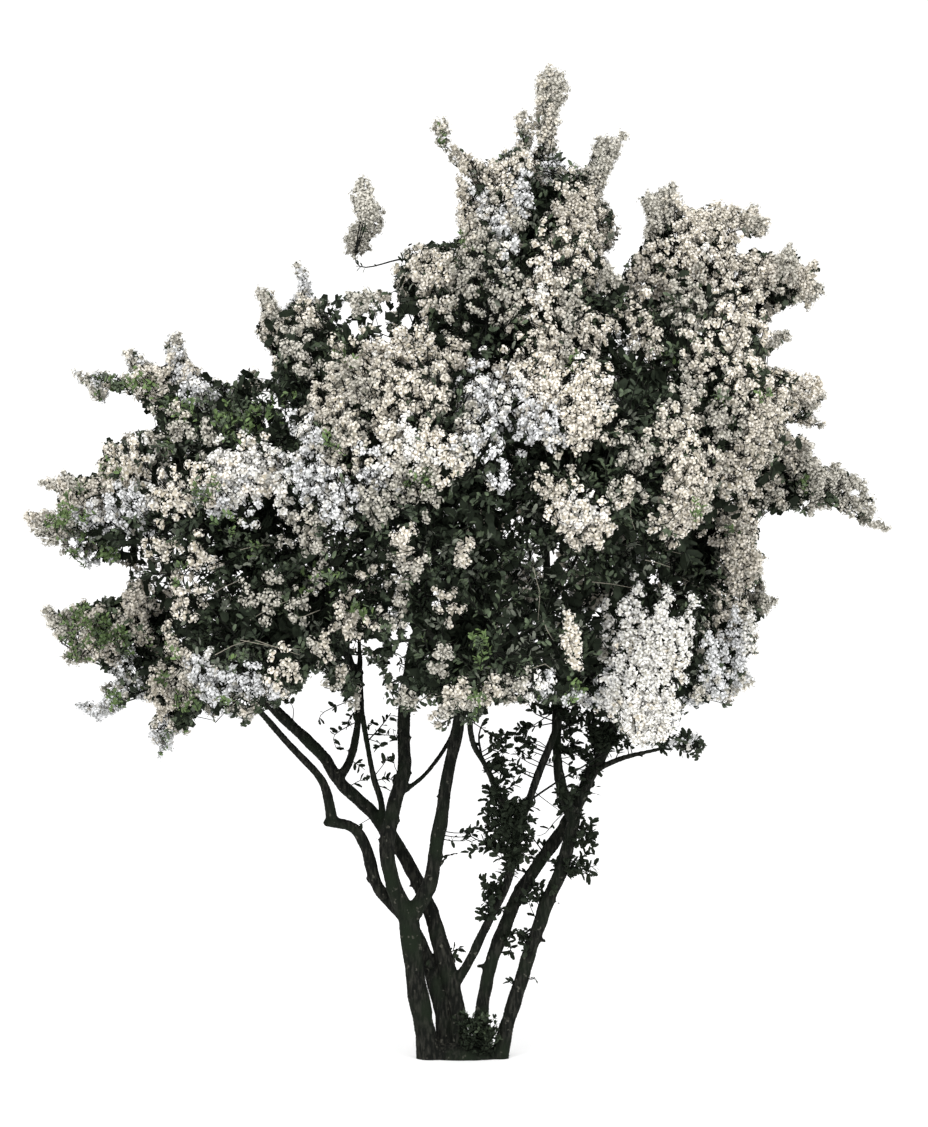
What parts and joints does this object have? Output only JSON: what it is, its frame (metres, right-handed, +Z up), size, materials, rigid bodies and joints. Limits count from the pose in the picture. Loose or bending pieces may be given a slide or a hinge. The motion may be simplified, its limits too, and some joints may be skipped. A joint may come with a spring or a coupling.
{
  "type": "blossoming evergreen shrub",
  "caption": "Tall multi-stemmed evergreen shrub, rooted in the ground, with leaning stems, forked boughs and a broad crown of small leaves and creamy blossom.",
  "frame": {"origin": "on the flat cut under the root crown, at ground level, in the middle of the root crown", "axes": "+Z straight up from the level ground, +X the plant's right as seen from the front, -Y towards the front"},
  "size_m": [2.157, 1.6861, 2.49],
  "materials": {
    "bark": "rough dark bark with a green moss tint",
    "foliage": "small leathery evergreen leaves, dull",
    "blossom": "matt cream to white petals in dense panicles"
  },
  "bodies": {
    "root": {"root_crown": "bark", "stem_left": "bark", "stem_left_back": "bark", "stem_middle": "bark", "stem_right_inner": "bark", "stem_right": "bark", "bough_elbow": "bark", "bough_left": "bark", "bough_left_rise": "bark", "bough_centre": "bark", "bough_thin_left": "bark", "bough_front": "bark", "bough_front_right": "bark", "stem_slender": "bark", "bough_forward": "bark", "bough_right": "bark", "bough_leader": "bark", "bough_low_right": "bark", "bough_crossing": "bark", "bough_right_far": "bark", "bough_back": "bark", "bough_top_front": "bark", "bough_top_back": "bark", "bough_front_upper": "bark", "bough_front_left": "bark", "bough_front_skirt": "bark", "bough_front_far": "bark", "crown_top": "blossom", "crown_upper_left": "blossom", "left_upper": "foliage", "left_shoulder": "foliage", "left_far": "blossom", "left_low": "foliage", "left_skirt": "blossom", "right_top": "blossom", "right_upper_far": "blossom", "right_middle": "blossom", "right_shoot": "blossom", "right_low": "blossom", "right_skirt": "blossom", "right_front_skirt": "blossom", "right_inner_skirt": "foliage", "right_low_tip": "foliage", "front_top": "blossom", "front_upper_left": "blossom", "front_left": "blossom", "front_middle": "blossom", "front_middle_right": "blossom", "front_right": "blossom", "front_low_left": "blossom", "front_low": "foliage", "back_top": "blossom", "back_left": "blossom", "back_middle": "blossom", "back_right": "blossom", "back_low_left": "foliage", "back_low": "foliage", "back_low_right": "blossom", "inner_shoots": "foliage", "outer_shoots": "foliage"}
  },
  "joints": []
}
